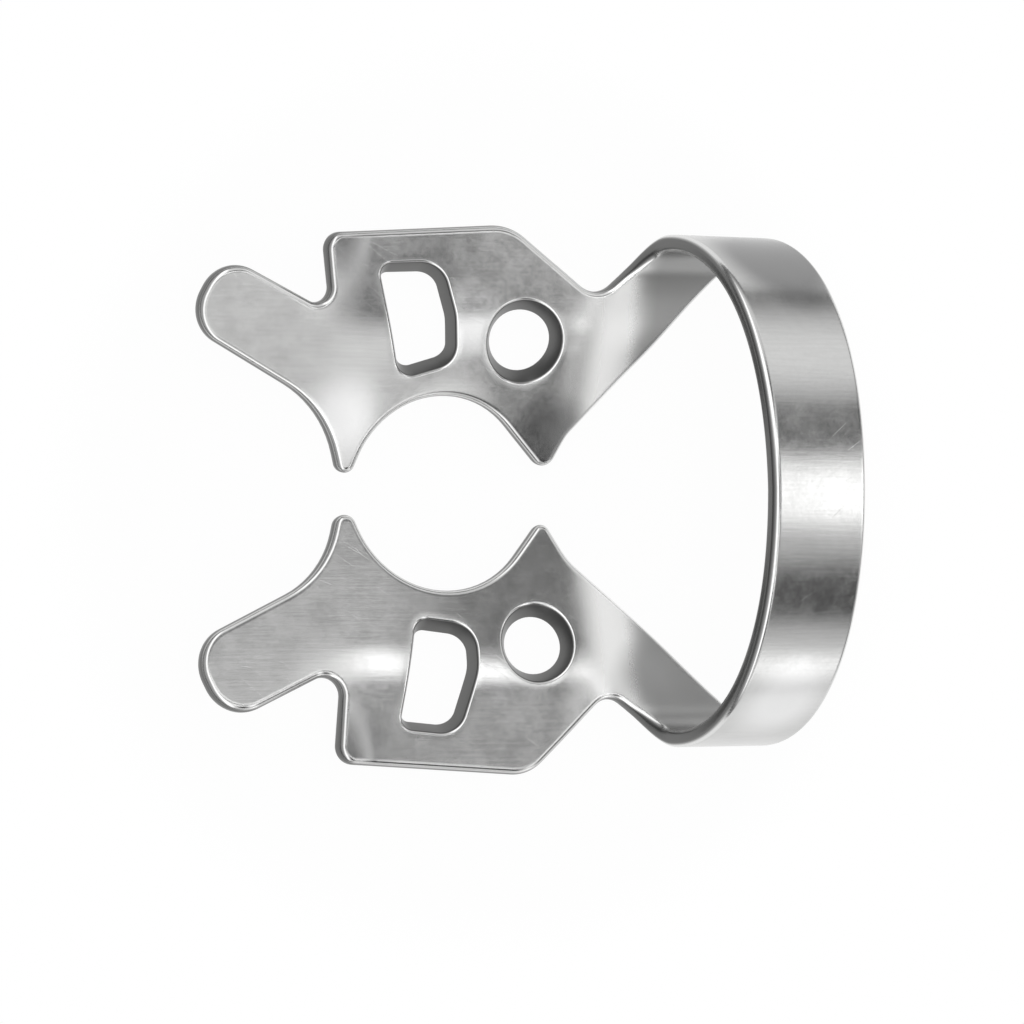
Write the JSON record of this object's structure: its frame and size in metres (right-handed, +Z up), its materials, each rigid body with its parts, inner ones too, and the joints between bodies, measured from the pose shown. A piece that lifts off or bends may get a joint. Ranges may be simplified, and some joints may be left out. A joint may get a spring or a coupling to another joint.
{
  "type": "rubber dam clamp",
  "caption": "Winged rubber dam clamp of bent spring steel sheet, with pronged jaws, forceps holes, windows and an arched bow that springs the jaws together.",
  "frame": {"origin": "on the floor that the clamp stands on, at the middle of its bounding box in x and y", "axes": "+X from the front wings towards the bow, +Y towards the jaw that is uppermost in the picture, +Z up from the prongs to the top of the bow"},
  "size_m": [0.0292, 0.025, 0.0112],
  "materials": {
    "spring_steel": "tumbled and brushed to a satin sheen"
  },
  "bodies": {
    "root": {"clamp_body": "spring_steel"}
  },
  "joints": []
}
